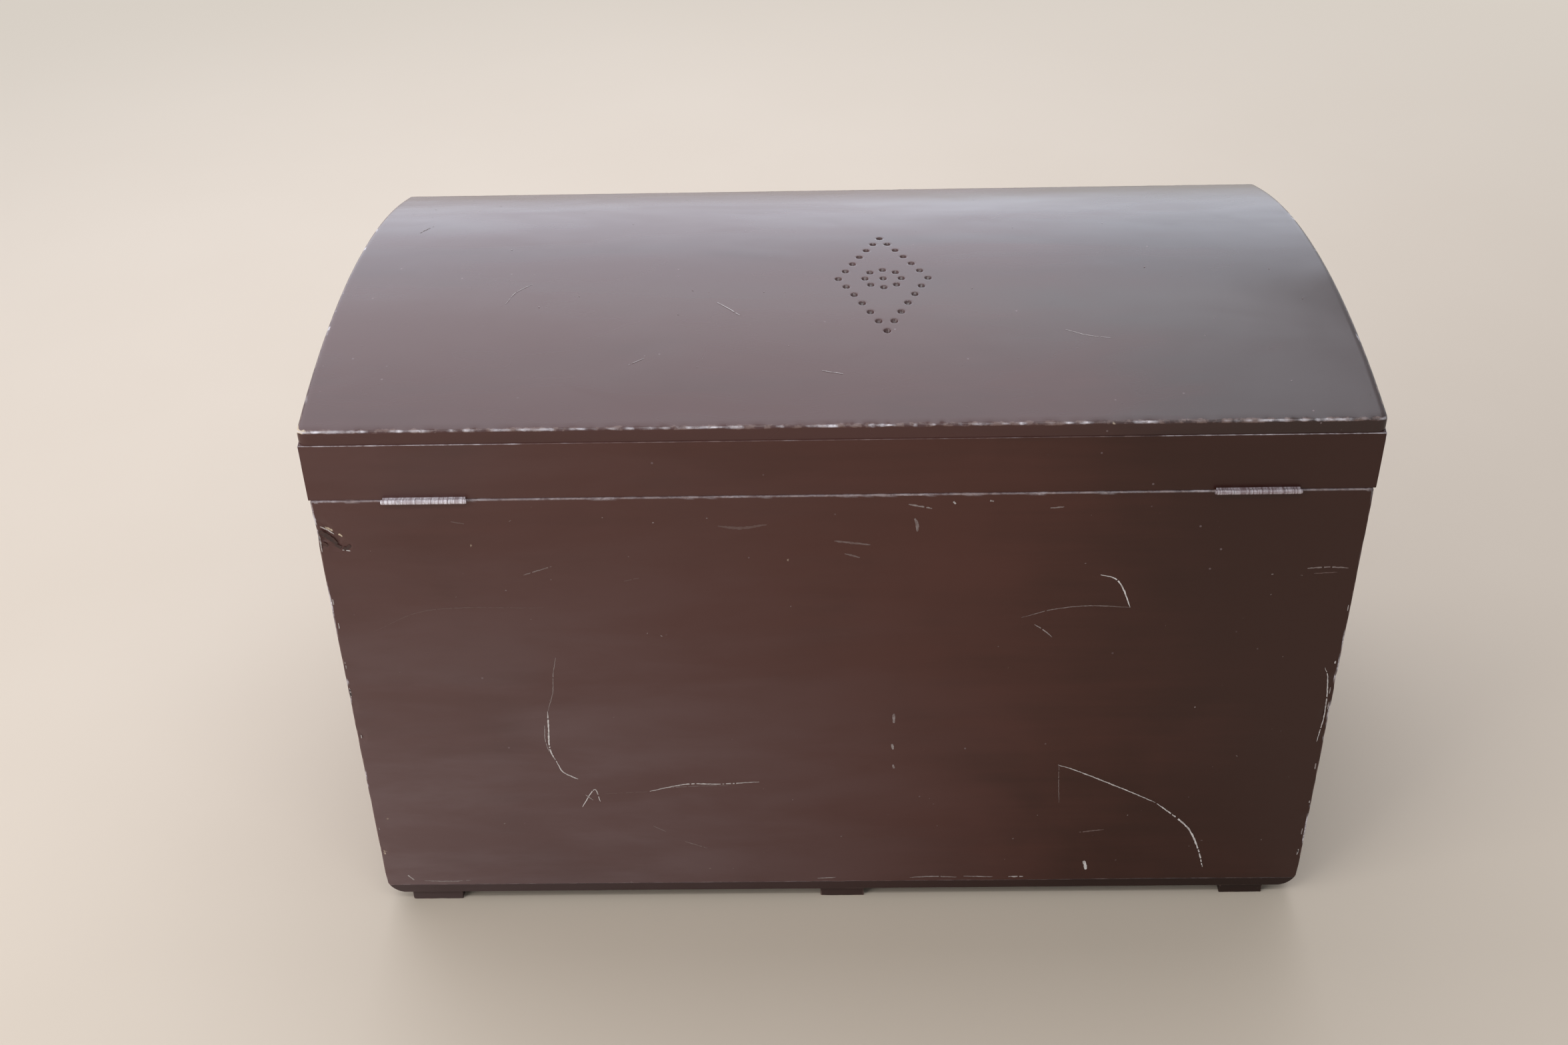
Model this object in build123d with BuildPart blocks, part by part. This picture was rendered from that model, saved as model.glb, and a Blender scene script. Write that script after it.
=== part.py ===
from build123d import *

import math
import os

os.makedirs("parts", exist_ok=True)

# Dome top wooden chest, in millimetres.
# Front towards -Y, hinges towards +Y, +Z up, +X to the right as seen from the front.
# The origin is on the floor, under the middle of the outline.

# Box
body_width = 812.0
body_depth = 456.0
box_height = 418.0
panel_thickness = 16.0
bottom_thickness = 9.0
corner_radius = 17.0
panel_ease = 1.2
runner_height = 12.0
runner_setback = 3.0
runner_ease = 2.0
left_runner_inset = 47.0
left_runner_width = 38.0
centre_runner_x = -2.0
centre_runner_width = 39.0
right_runner_inset = 43.0
right_runner_width = 45.0
cleat_width = 20.0
cleat_below_rim = 22.0

# Lid
lid_overhang = 1.5
lid_setback = 1.2
sheet_setback = 1.0
lid_side_height = 60.0
dome_rise = 32.0
sheet_thickness = 11.0
sheet_round = 5.0
rail_thickness = 16.0
rail_ease = 1.0
rib_thickness = 18.0
rib_height = 30.0

# Pattern of blind holes in the dome
motif_x = -40.0
motif_from_back = 190.0
motif_width = 74.0
motif_length = 160.0
motif_steps = 6
rosette_radius = 15.0
rosette_holes = 8
hole_diameter = 5.4
hole_depth = 3.4

# Hinges
hinge_from_end = 88.0
hinge_length = 63.5
knuckle_count = 5
knuckle_radius = 2.0
knuckle_gap = 0.3
pin_radius = 1.0
pin_clearance = 0.05
pin_head_radius = 1.8
pin_head_length = 1.2
pin_head_round = 0.6
leaf_thickness = 1.6
leaf_reach = 13.6
leaf_gap = 0.2
barrel_gap = 0.3
mortise_clearance = 0.2
screw_spacing = 21.0
screw_inset = 7.4
screw_head_radius = 3.0
screw_shank_radius = 1.4
screw_head_height = 1.5
screw_length = 12.0

# Lid stay
stay_radius = 150.0
stay_rest_angle = 10.0
lid_opening = 100.0
stay_bar_width = 15.0
stay_bar_thickness = 2.0
stay_slack = 0.3
stud_radius = 3.0
stud_collar_radius = 5.5
stud_collar_thickness = 1.2
stud_head_thickness = 2.2
stud_wood_radius = 2.4
stud_wood_length = 10.0

# Levels
bottom_top_z = runner_height + bottom_thickness
joint_z = runner_height + box_height
box_mid_z = (runner_height + joint_z) / 2
panel_height = joint_z - bottom_top_z
arris_z = joint_z + lid_side_height
crest_z = arris_z + dome_rise

# Places along the width
hinge_x = body_width / 2 - hinge_from_end
runner_places = {
    "left": (left_runner_inset - body_width / 2, left_runner_width),
    "centre": (centre_runner_x, centre_runner_width),
    "right": (body_width / 2 - right_runner_inset, right_runner_width),
}

# Places along the depth
barrel_offset = knuckle_radius + barrel_gap
barrel_projection = barrel_offset + knuckle_radius
back_face_y = (body_depth - barrel_projection) / 2
front_face_y = back_face_y - body_depth
mid_y = (back_face_y + front_face_y) / 2
hinge_axis_y = back_face_y + barrel_offset
end_panel_depth = body_depth - 2 * panel_thickness
lid_depth = body_depth - 2 * lid_setback
lid_inner_depth = lid_depth - 2 * rail_thickness
sheet_depth = lid_depth - 2 * sheet_setback

# Dome
dome_radius = ((sheet_depth / 2) ** 2 + dome_rise**2) / (2 * dome_rise)
dome_centre_z = crest_z - dome_radius
dome_inner_radius = dome_radius - sheet_thickness
lid_width = body_width + 2 * lid_overhang
inner_half_width = body_width / 2 - panel_thickness
lid_end_thickness = lid_width / 2 - inner_half_width

# Hinge
knuckle_pitch = (hinge_length + knuckle_gap) / knuckle_count
knuckle_length = knuckle_pitch - knuckle_gap
body_knuckles = range(0, knuckle_count, 2)
lid_knuckles = range(1, knuckle_count, 2)
leaf_inner_y = back_face_y - leaf_reach
screw_y = back_face_y - screw_inset
body_leaf_top_z = joint_z - leaf_gap
lid_leaf_bottom_z = joint_z + leaf_gap
mortise_depth = leaf_gap + leaf_thickness

# Stay
stay_drop = stay_radius * math.sin(math.radians(stay_rest_angle))
stay_pivot_y = hinge_axis_y - stay_radius * math.cos(math.radians(stay_rest_angle))
stay_pivot_z = joint_z + stay_drop
stay_stud_z = joint_z - stay_drop
stay_closed_span = 2 * stay_drop
stay_open_span = 2 * stay_radius * math.sin(math.radians(stay_rest_angle + lid_opening / 2))
stay_slot_top = stay_closed_span - stay_slack
stay_slot_bottom = stay_open_span + stay_slack
stay_bar_reach = stay_slot_bottom + stay_bar_width / 2
stay_bar_outer_x = inner_half_width - stud_collar_thickness - stay_slack
stay_bar_inner_x = stay_bar_outer_x - stay_bar_thickness
stud_head_outer_x = stay_bar_inner_x - stay_slack


def box_outline():
    """Box seen from behind: square at the rim, round at both lower corners."""
    with Locations((0, box_mid_z)):
        Rectangle(body_width, box_height)
    fillet(vertices().group_by(Axis.Y)[0], corner_radius)


def keep_band(x_low, x_high, z_low, z_high):
    """Keep only the part of the sketch inside this rectangle."""
    with Locations(((x_low + x_high) / 2, (z_low + z_high) / 2)):
        Rectangle(x_high - x_low, z_high - z_low, mode=Mode.INTERSECT)


def under_dome():
    """Keep only what lies below the underside of the bent top."""
    with Locations((mid_y, dome_centre_z)):
        Circle(dome_inner_radius, mode=Mode.INTERSECT)


def dome_place(x, along):
    """Place on the outside of the dome, square to it, this far behind the crest along the curve."""
    turn = along / dome_radius
    y = mid_y + dome_radius * math.sin(turn)
    z = dome_centre_z + dome_radius * math.cos(turn)
    return Location((x, y, z), (-math.degrees(turn), 0, 0))


def motif_places():
    """Lozenge of evenly spaced holes round a small rosette."""
    centre = body_depth / 2 - motif_from_back
    corners = [(motif_width / 2, 0), (0, motif_length / 2), (-motif_width / 2, 0), (0, -motif_length / 2)]
    places = [dome_place(motif_x, centre)]
    for side in range(4):
        x_start, y_start = corners[side]
        x_end, y_end = corners[(side + 1) % 4]
        for step in range(motif_steps):
            share = step / motif_steps
            x = motif_x + x_start + share * (x_end - x_start)
            places.append(dome_place(x, centre + y_start + share * (y_end - y_start)))
    for hole in range(rosette_holes):
        angle = 2 * math.pi * hole / rosette_holes
        x = motif_x + rosette_radius * math.cos(angle)
        places.append(dome_place(x, centre + rosette_radius * math.sin(angle)))
    return places


def knuckle_x(side_x, number):
    """Middle of one knuckle along the hinge."""
    return side_x + (number - (knuckle_count - 1) / 2) * knuckle_pitch


def screw_places(side_x, level, turned=0):
    """Three screw places in one leaf, heads at this level."""
    offsets = (-screw_spacing, 0, screw_spacing)
    return [Location((side_x + offset, screw_y, level), (turned, 0, 0)) for offset in offsets]


def countersunk_screw(mode=Mode.ADD):
    """Screw below its place: flat head on top, shank under it."""
    downwards = (Align.CENTER, Align.CENTER, Align.MAX)
    Cone(screw_shank_radius, screw_head_radius, screw_head_height, align=downwards, mode=mode)
    Cylinder(screw_shank_radius, screw_length, align=downwards, mode=mode)


def leaf_mortise(side_x, low_z, high_z):
    """Shallow recess for one leaf, open to the back of the chest."""
    y_low = leaf_inner_y - mortise_clearance
    y_high = back_face_y + mortise_clearance
    with Locations((side_x, (y_low + y_high) / 2, (low_z + high_z) / 2)):
        Box(hinge_length + 2 * mortise_clearance, y_high - y_low, high_z - low_z, mode=Mode.SUBTRACT)


def leaf_plate(side_x, low_z, own_knuckles, other_knuckles):
    """One hinge leaf with its knuckles, cut back where the other leaf's knuckles turn."""
    with Locations((side_x, (leaf_inner_y + hinge_axis_y) / 2, low_z + leaf_thickness / 2)):
        Box(hinge_length, hinge_axis_y - leaf_inner_y, leaf_thickness)
    with Locations(*[(knuckle_x(side_x, number), hinge_axis_y, joint_z) for number in other_knuckles]):
        Box(knuckle_length + 2 * knuckle_gap, 2 * barrel_offset, 4 * knuckle_radius, mode=Mode.SUBTRACT)
    with Locations(*[(knuckle_x(side_x, number), hinge_axis_y, joint_z) for number in own_knuckles]):
        Cylinder(knuckle_radius, knuckle_length, rotation=(0, 90, 0))


def stay_stud(level):
    """Headed stud of the stay in the right end, with its collar and the part in the wood."""
    sections = [
        (stud_wood_radius, inner_half_width, stud_wood_length),
        (stud_collar_radius, inner_half_width - stud_collar_thickness, stud_collar_thickness),
        (stud_radius, stud_head_outer_x, inner_half_width - stud_head_outer_x),
        (stud_collar_radius, stud_head_outer_x - stud_head_thickness, stud_head_thickness),
    ]
    for radius, start_x, length in sections:
        with Locations((start_x + length / 2, stay_pivot_y, level)):
            Cylinder(radius, length, rotation=(0, 90, 0))


def stud_hole(level):
    """Hole in the wood for a stud of the stay."""
    with Locations((inner_half_width + stud_wood_length / 2, stay_pivot_y, level)):
        Cylinder(stud_wood_radius, stud_wood_length, rotation=(0, 90, 0), mode=Mode.SUBTRACT)


# Back panel, with a recess for each hinge
with BuildPart() as back_panel:
    with BuildSketch(Plane.XZ.offset(-back_face_y)):
        box_outline()
        keep_band(-body_width / 2, body_width / 2, bottom_top_z, joint_z)
    extrude(amount=panel_thickness)
    fillet(faces().sort_by(Axis.Y)[-1].edges(), panel_ease)
    for side_x in (-hinge_x, hinge_x):
        leaf_mortise(side_x, joint_z - mortise_depth, joint_z + 1)
        with Locations(*screw_places(side_x, body_leaf_top_z)):
            countersunk_screw(mode=Mode.SUBTRACT)
back_panel.part.label = "back_panel"
export_step(back_panel.part, "parts/back_panel.step")

# Front panel
with BuildPart() as front_panel:
    with BuildSketch(Plane.XZ.offset(-(front_face_y + panel_thickness))):
        box_outline()
        keep_band(-body_width / 2, body_width / 2, bottom_top_z, joint_z)
    extrude(amount=panel_thickness)
    fillet(faces().sort_by(Axis.Y)[0].edges(), panel_ease)
front_panel.part.label = "front_panel"
export_step(front_panel.part, "parts/front_panel.step")

# Left end, between the front and back panels
with BuildPart() as end_left:
    with BuildSketch(Plane.XZ.offset(-(back_face_y - panel_thickness))):
        box_outline()
        keep_band(-body_width / 2, -inner_half_width, bottom_top_z, joint_z)
    extrude(amount=end_panel_depth)
end_left.part.label = "end_left"
export_step(end_left.part, "parts/end_left.step")

# Right end, which also carries the stud of the stay
with BuildPart() as end_right:
    with BuildSketch(Plane.XZ.offset(-(back_face_y - panel_thickness))):
        box_outline()
        keep_band(inner_half_width, body_width / 2, bottom_top_z, joint_z)
    extrude(amount=end_panel_depth)
    stud_hole(stay_stud_z)
end_right.part.label = "end_right"
export_step(end_right.part, "parts/end_right.step")

# Bottom board, under the four sides
with BuildPart() as bottom_board:
    with BuildSketch(Plane.XZ.offset(-back_face_y)):
        box_outline()
        keep_band(-body_width / 2, body_width / 2, runner_height, bottom_top_z)
    extrude(amount=body_depth)
bottom_board.part.label = "bottom_board"
export_step(bottom_board.part, "parts/bottom_board.step")

# Three runners from front to back under the bottom
for name, (x, width) in runner_places.items():
    with BuildPart() as runner:
        with Locations((x, mid_y, runner_height / 2)):
            Box(width, body_depth - 2 * runner_setback, runner_height)
        fillet(edges().filter_by(Axis.Y).group_by(Axis.Z)[0], runner_ease)
    runner.part.label = f"runner_{name}"
    export_step(runner.part, f"parts/runner_{name}.step")

# Glued cleat in each upright corner of the box
for side, x_sign in (("left", -1), ("right", 1)):
    for face, y_sign in (("front", -1), ("back", 1)):
        cleat_x = x_sign * (inner_half_width - cleat_width / 2)
        cleat_y = mid_y + y_sign * (end_panel_depth / 2 - cleat_width / 2)
        cleat_height = panel_height - cleat_below_rim
        with BuildPart() as corner_cleat:
            with Locations((cleat_x, cleat_y, bottom_top_z + cleat_height / 2)):
                Box(cleat_width, cleat_width, cleat_height)
            inner_corner = edges().filter_by(Axis.Z).sort_by(Axis.X)
            inner_pair = inner_corner[:2] if x_sign > 0 else inner_corner[2:]
            chamfer(inner_pair.sort_by(Axis.Y)[0 if y_sign > 0 else -1], cleat_width / 4)
        corner_cleat.part.label = f"corner_cleat_{face}_{side}"
        export_step(corner_cleat.part, f"parts/corner_cleat_{face}_{side}.step")

# Bent top with its pattern of blind holes
with BuildPart() as top_sheet:
    with BuildSketch(Plane.YZ.offset(-lid_width / 2)):
        with Locations((mid_y, dome_centre_z)):
            Circle(dome_radius)
            Circle(dome_inner_radius, mode=Mode.SUBTRACT)
        keep_band(mid_y - sheet_depth / 2, mid_y + sheet_depth / 2, joint_z, crest_z + dome_rise)
    extrude(amount=lid_width)
    fillet(faces().sort_by(Axis.Z)[-1].edges(), sheet_round)
    with Locations(*motif_places()):
        Cylinder(hole_diameter / 2, 2 * hole_depth, mode=Mode.SUBTRACT)
top_sheet.part.label = "top_sheet"
export_step(top_sheet.part, "parts/top_sheet.step")

# Back rail of the lid, with a recess for each hinge
with BuildPart() as lid_back_rail:
    with BuildSketch(Plane.YZ.offset(-lid_width / 2)):
        with Locations((mid_y + lid_depth / 2 - rail_thickness / 2, (joint_z + crest_z) / 2)):
            Rectangle(rail_thickness, crest_z - joint_z)
        under_dome()
    extrude(amount=lid_width)
    fillet(faces().sort_by(Axis.Y)[-1].edges(), rail_ease)
    for side_x in (-hinge_x, hinge_x):
        leaf_mortise(side_x, joint_z - 1, joint_z + mortise_depth)
        with Locations(*screw_places(side_x, lid_leaf_bottom_z, turned=180)):
            countersunk_screw(mode=Mode.SUBTRACT)
lid_back_rail.part.label = "lid_back_rail"
export_step(lid_back_rail.part, "parts/lid_back_rail.step")

# Front rail of the lid
with BuildPart() as lid_front_rail:
    with BuildSketch(Plane.YZ.offset(-lid_width / 2)):
        with Locations((mid_y - lid_depth / 2 + rail_thickness / 2, (joint_z + crest_z) / 2)):
            Rectangle(rail_thickness, crest_z - joint_z)
        under_dome()
    extrude(amount=lid_width)
    fillet(faces().sort_by(Axis.Y)[0].edges(), rail_ease)
lid_front_rail.part.label = "lid_front_rail"
export_step(lid_front_rail.part, "parts/lid_front_rail.step")

# Arched left end of the lid
with BuildPart() as lid_end_left:
    with BuildSketch(Plane.YZ.offset(-lid_width / 2)):
        with Locations((mid_y, (joint_z + crest_z) / 2)):
            Rectangle(lid_inner_depth, crest_z - joint_z)
        under_dome()
    extrude(amount=lid_end_thickness)
lid_end_left.part.label = "lid_end_left"
export_step(lid_end_left.part, "parts/lid_end_left.step")

# Arched right end of the lid, which also carries the pivot of the stay
with BuildPart() as lid_end_right:
    with BuildSketch(Plane.YZ.offset(inner_half_width)):
        with Locations((mid_y, (joint_z + crest_z) / 2)):
            Rectangle(lid_inner_depth, crest_z - joint_z)
        under_dome()
    extrude(amount=lid_end_thickness)
    stud_hole(stay_pivot_z)
lid_end_right.part.label = "lid_end_right"
export_step(lid_end_right.part, "parts/lid_end_right.step")

# Arched rib under the middle of the top
with BuildPart() as lid_rib:
    with BuildSketch(Plane.YZ.offset(-rib_thickness / 2)):
        with Locations((mid_y, (joint_z + crest_z) / 2)):
            Rectangle(lid_inner_depth, crest_z - joint_z)
        under_dome()
        with Locations((mid_y, dome_centre_z)):
            Circle(dome_inner_radius - rib_height, mode=Mode.SUBTRACT)
    extrude(amount=rib_thickness)
lid_rib.part.label = "lid_rib"
export_step(lid_rib.part, "parts/lid_rib.step")

# Two butt hinges, each of two leaves and a pin
for side, side_x in (("left", -hinge_x), ("right", hinge_x)):
    with BuildPart() as body_leaf:
        leaf_plate(side_x, body_leaf_top_z - leaf_thickness, body_knuckles, lid_knuckles)
        with Locations((side_x, hinge_axis_y, joint_z)):
            Cylinder(pin_radius, 2 * hinge_length, rotation=(0, 90, 0), mode=Mode.SUBTRACT)
        with Locations(*screw_places(side_x, body_leaf_top_z)):
            countersunk_screw(mode=Mode.SUBTRACT)
    body_leaf.part.label = f"hinge_{side}_body_leaf"
    export_step(body_leaf.part, f"parts/hinge_{side}_body_leaf.step")

    with BuildPart() as lid_leaf:
        leaf_plate(side_x, lid_leaf_bottom_z, lid_knuckles, body_knuckles)
        with Locations((side_x, hinge_axis_y, joint_z)):
            Cylinder(pin_radius + pin_clearance, 2 * hinge_length, rotation=(0, 90, 0), mode=Mode.SUBTRACT)
        with Locations(*screw_places(side_x, lid_leaf_bottom_z, turned=180)):
            countersunk_screw(mode=Mode.SUBTRACT)
    lid_leaf.part.label = f"hinge_{side}_lid_leaf"
    export_step(lid_leaf.part, f"parts/hinge_{side}_lid_leaf.step")

    with BuildPart() as hinge_pin:
        with Locations((side_x, hinge_axis_y, joint_z)):
            Cylinder(pin_radius, hinge_length, rotation=(0, 90, 0))
        head_offset = (hinge_length + pin_head_length) / 2
        with Locations(*[(side_x + sign * head_offset, hinge_axis_y, joint_z) for sign in (-1, 1)]):
            Cylinder(pin_head_radius, pin_head_length, rotation=(0, 90, 0))
        head_faces = faces().filter_by(GeomType.PLANE).sort_by(Axis.X)
        fillet(head_faces[0].edges() + head_faces[-1].edges(), pin_head_round)
    hinge_pin.part.label = f"hinge_{side}_pin"
    export_step(hinge_pin.part, f"parts/hinge_{side}_pin.step")

# Screws of the leaves let into the box
with BuildPart() as hinge_body_screws:
    for side_x in (-hinge_x, hinge_x):
        with Locations(*screw_places(side_x, body_leaf_top_z)):
            countersunk_screw()
hinge_body_screws.part.label = "hinge_body_screws"
export_step(hinge_body_screws.part, "parts/hinge_body_screws.step")

# Screws of the leaves let into the lid
with BuildPart() as hinge_lid_screws:
    for side_x in (-hinge_x, hinge_x):
        with Locations(*screw_places(side_x, lid_leaf_bottom_z, turned=180)):
            countersunk_screw()
hinge_lid_screws.part.label = "hinge_lid_screws"
export_step(hinge_lid_screws.part, "parts/hinge_lid_screws.step")

# Stud on the box, which runs in the slot of the stay
with BuildPart() as stay_body_stud:
    stay_stud(stay_stud_z)
stay_body_stud.part.label = "stay_body_stud"
export_step(stay_body_stud.part, "parts/stay_body_stud.step")

# Stud on the lid, on which the stay turns
with BuildPart() as stay_lid_stud:
    stay_stud(stay_pivot_z)
stay_lid_stud.part.label = "stay_lid_stud"
export_step(stay_lid_stud.part, "parts/stay_lid_stud.step")

# Flat bar of the stay, hanging straight down from its pivot while the lid is shut
with BuildPart() as stay_bar:
    with BuildSketch(Plane.YZ.offset(stay_bar_inner_x)):
        with Locations((stay_pivot_y, stay_pivot_z - stay_bar_reach / 2)):
            SlotCenterToCenter(stay_bar_reach, stay_bar_width, rotation=90)
        with Locations((stay_pivot_y, stay_pivot_z)):
            Circle(stud_radius + pin_clearance, mode=Mode.SUBTRACT)
        slot_middle = (stay_slot_top + stay_slot_bottom) / 2
        with Locations((stay_pivot_y, stay_pivot_z - slot_middle)):
            slot_run = stay_slot_bottom - stay_slot_top
            SlotCenterToCenter(slot_run, 2 * (stud_radius + stay_slack), rotation=90, mode=Mode.SUBTRACT)
    extrude(amount=stay_bar_thickness)
stay_bar.part.label = "stay_bar"
export_step(stay_bar.part, "parts/stay_bar.step")
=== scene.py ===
import math
import random

import bmesh
import bpy
from mathutils import Matrix, Vector, noise


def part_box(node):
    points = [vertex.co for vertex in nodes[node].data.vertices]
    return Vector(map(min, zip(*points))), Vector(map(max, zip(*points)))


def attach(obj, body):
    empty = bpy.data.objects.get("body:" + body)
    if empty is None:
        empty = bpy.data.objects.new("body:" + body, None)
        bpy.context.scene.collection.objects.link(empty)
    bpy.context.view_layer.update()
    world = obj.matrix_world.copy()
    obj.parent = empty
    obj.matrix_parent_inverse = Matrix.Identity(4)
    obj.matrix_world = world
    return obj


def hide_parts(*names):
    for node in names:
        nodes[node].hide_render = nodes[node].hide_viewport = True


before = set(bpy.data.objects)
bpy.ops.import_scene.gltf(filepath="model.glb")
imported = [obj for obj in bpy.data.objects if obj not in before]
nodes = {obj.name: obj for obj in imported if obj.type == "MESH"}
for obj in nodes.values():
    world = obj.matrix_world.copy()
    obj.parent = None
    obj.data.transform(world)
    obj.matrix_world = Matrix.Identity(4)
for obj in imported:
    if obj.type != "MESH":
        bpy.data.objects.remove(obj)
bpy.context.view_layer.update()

MM = 0.001

# Places read from the frame, in metres
back_low, back_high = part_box("back_panel")
front_low, front_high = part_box("front_panel")
end_low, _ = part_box("end_right")
bottom_low, bottom_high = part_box("bottom_board")
rail_low, rail_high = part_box("lid_back_rail")
front_rail_low, front_rail_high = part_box("lid_front_rail")
sheet_low, sheet_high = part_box("top_sheet")

back_y = back_high.y
mid_y = (front_low.y + back_high.y) / 2
half_depth = (back_high.y - front_low.y) / 2
half_width = back_high.x
inner_half_width = end_low.x
joint_z = back_high.z
floor_board_z = bottom_high.z
base_z = bottom_low.z
crest_z = sheet_high.z
sheet_half_width = sheet_high.x
sheet_half_depth = (sheet_high.y - sheet_low.y) / 2
rail_inner_face = rail_low.y - mid_y

# The dome's arc, from the driving sizes in part.py
dome_rise = 32 * MM
sheet_thickness = 11 * MM
corner_radius = 17 * MM
dome_radius = (sheet_half_depth**2 + dome_rise**2) / (2 * dome_rise)
dome_centre_z = crest_z - dome_radius
inner_radius = dome_radius - sheet_thickness

# The pattern of blind holes, from part.py
motif_x = -40 * MM
motif_from_back = 190 * MM
motif_width = 74 * MM
motif_length = 160 * MM
motif_steps = 6
rosette_radius = 15 * MM
rosette_holes = 8
hole_radius = 2.7 * MM
hole_depth = 3.4 * MM

# Mesh rings round each hole: its floor, the foot and head of its wall, and the dished paint about it
hole_floor = 1.7 * MM
hole_wall_foot = 2.45 * MM
hole_wall_head = 2.75 * MM
hole_lip_reach = 3.2 * MM
hole_lip_depth = 0.32 * MM
hole_dish_reach = 4.2 * MM
hole_dish_depth = 0.09 * MM
hole_search = 5 * MM

# Rounding of the top's long edges and of its ends
edge_round = 2.6 * MM
least_edge_round = 1.2 * MM
edge_steps = 5
end_round = 3.2 * MM
corner_ease = 2.2 * MM
corner_reach = 7 * MM

# Stretches along the back edge of the top with the most painted highlights and pale rubs
most_highlit_and_rubbed_left = 120 * MM
most_highlit_and_rubbed_right = -300 * MM
highlit_and_rubbed_cluster = (72 * MM, 98 * MM)
highlit_and_rubbed_corner = 378 * MM

# The painted highlight on the ledge under the top is clear only this far out
ledge_highlight_from = 240 * MM


# Node helpers

def new_material(name):
    """Empty node material and its tree."""
    material = bpy.data.materials.new(name)
    material.use_nodes = True
    material.node_tree.nodes.clear()
    return material, material.node_tree


def put(tree, kind, inputs=None, **settings):
    """Add a node; inputs takes socket names or numbers to values or to other sockets."""
    node = tree.nodes.new(kind)
    for key, value in settings.items():
        setattr(node, key, value)
    for key, value in (inputs or {}).items():
        if isinstance(value, bpy.types.NodeSocket):
            tree.links.new(value, node.inputs[key])
        else:
            node.inputs[key].default_value = value
    return node


def maths(tree, operation, first, second=0.0, third=None, clamp=False):
    inputs = {0: first, 1: second}
    if third is not None:
        inputs[2] = third
    return put(tree, "ShaderNodeMath", inputs, operation=operation, use_clamp=clamp).outputs[0]


def between(tree, value, low, high, to_low=0.0, to_high=1.0):
    """Value mapped from low..high to to_low..to_high, held at the ends."""
    inputs = {"Value": value, "From Min": low, "From Max": high, "To Min": to_low, "To Max": to_high}
    return put(tree, "ShaderNodeMapRange", inputs, interpolation_type="SMOOTHSTEP").outputs["Result"]


def mix(tree, share, first, second):
    """Colour between first and second."""
    node = put(tree, "ShaderNodeMix", data_type="RGBA")
    for socket, value in ((0, share), (6, first), (7, second)):
        if isinstance(value, bpy.types.NodeSocket):
            tree.links.new(value, node.inputs[socket])
        else:
            node.inputs[socket].default_value = value
    return node.outputs[2]


def grain(tree, place, stretch, scale, detail=4.0, roughness=0.55, distortion=0.0):
    """Noise read from stretched object coordinates."""
    mapping = put(tree, "ShaderNodeMapping", {"Vector": place, "Scale": stretch})
    inputs = {"Vector": mapping.outputs[0], "Scale": scale, "Detail": detail, "Roughness": roughness,
              "Distortion": distortion}
    return put(tree, "ShaderNodeTexNoise", inputs).outputs["Fac"]


def bump(tree, height, distance, strength=1.0, normal=None):
    inputs = {"Height": height, "Distance": distance, "Strength": strength}
    if normal is not None:
        inputs["Normal"] = normal
    return put(tree, "ShaderNodeBump", inputs).outputs["Normal"]


def colour(red, green, blue):
    """Linear colour from sRGB values of 0 to 255."""
    def linear(value):
        share = value / 255
        return share / 12.92 if share <= 0.04045 else ((share + 0.055) / 1.055) ** 2.4
    return (linear(red), linear(green), linear(blue), 1.0)


# Materials

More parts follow.
